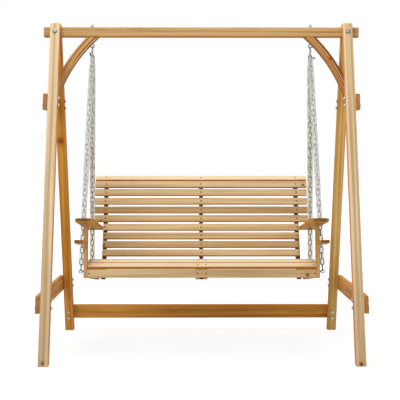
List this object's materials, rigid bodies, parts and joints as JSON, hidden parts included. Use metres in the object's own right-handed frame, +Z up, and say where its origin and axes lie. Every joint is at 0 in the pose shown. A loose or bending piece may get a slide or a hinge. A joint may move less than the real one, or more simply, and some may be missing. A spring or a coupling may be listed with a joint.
{
  "type": "porch swing",
  "caption": "Wooden porch swing: a slatted bench with armrests and a rolled back hangs on sleeved chains under an A-frame stand with a top beam and curved braces.",
  "frame": {"origin": "on the ground in the middle of the stand, below the middle of the beam", "axes": "+Z up, +X along the beam to the right of someone who looks at the front, -Y out of the front"},
  "size_m": [1.734, 1.1224, 1.79],
  "materials": {
    "stand_wood": "clear-oiled knotty softwood, honey colour, planed",
    "slat_wood": "clear-oiled softwood slats with eased edges",
    "bench_wood": "clear-oiled softwood, darker end grain",
    "stained_wood": "red-brown softwood, shaded behind the slats",
    "zinc_steel": "bright zinc plate",
    "chain_steel": "zinc-plated welded links",
    "clear_sleeve": "soft clear vinyl sleeve"
  },
  "bodies": {
    "stand": {"back_leg_left": "stand_wood", "back_leg_right": "stand_wood", "back_stretcher": "stand_wood", "back_stretcher_bolts": "zinc_steel", "beam_bolts": "zinc_steel", "curved_brace_left": "stand_wood", "curved_brace_right": "stand_wood", "eye_bolt_left": "zinc_steel", "eye_bolt_right": "zinc_steel", "front_leg_left": "stand_wood", "front_leg_right": "stand_wood", "lower_side_stretcher_left": "stand_wood", "lower_side_stretcher_right": "stand_wood", "side_bolts": "zinc_steel", "top_beam": "stand_wood", "upper_side_brace_left": "stand_wood", "upper_side_brace_right": "stand_wood"},
    "bench": {"arm_post_left": "bench_wood", "arm_post_right": "bench_wood", "arm_shelf_left": "bench_wood", "arm_shelf_right": "bench_wood", "armrest_left": "bench_wood", "armrest_right": "bench_wood", "back_slat_1": "slat_wood", "back_slat_10": "slat_wood", "back_slat_2": "slat_wood", "back_slat_3": "slat_wood", "back_slat_4": "slat_wood", "back_slat_5": "slat_wood", "back_slat_6": "slat_wood", "back_slat_7": "slat_wood", "back_slat_8": "slat_wood", "back_slat_9": "slat_wood", "back_stile_centre": "stained_wood", "back_stile_left": "stained_wood", "back_stile_right": "stained_wood", "bench_eye_bolts": "zinc_steel", "chain_front_left": "chain_steel", "chain_front_right": "chain_steel", "chain_rear_left": "chain_steel", "chain_rear_right": "chain_steel", "chain_sleeves_front": "clear_sleeve", "chain_sleeves_rear": "clear_sleeve", "front_apron": "slat_wood", "packing_blocks": "stained_wood", "quick_link_left": "zinc_steel", "quick_link_right": "zinc_steel", "seat_slat_1": "slat_wood", "seat_slat_2": "slat_wood", "seat_slat_3": "slat_wood", "seat_slat_4": "slat_wood", "seat_slat_5": "slat_wood", "seat_slat_6": "slat_wood", "seat_slat_7": "slat_wood", "seat_slat_8": "slat_wood", "seat_support_centre_left": "bench_wood", "seat_support_centre_right": "bench_wood", "seat_support_left": "bench_wood", "seat_support_right": "bench_wood"}
  },
  "joints": [
    {"name": "swing", "type": "hinge", "parent": "stand", "child": "bench", "pos_m": [0, 0, 1.658], "axis": [1, 0, 0], "range_deg": [-25, 25]}
  ]
}
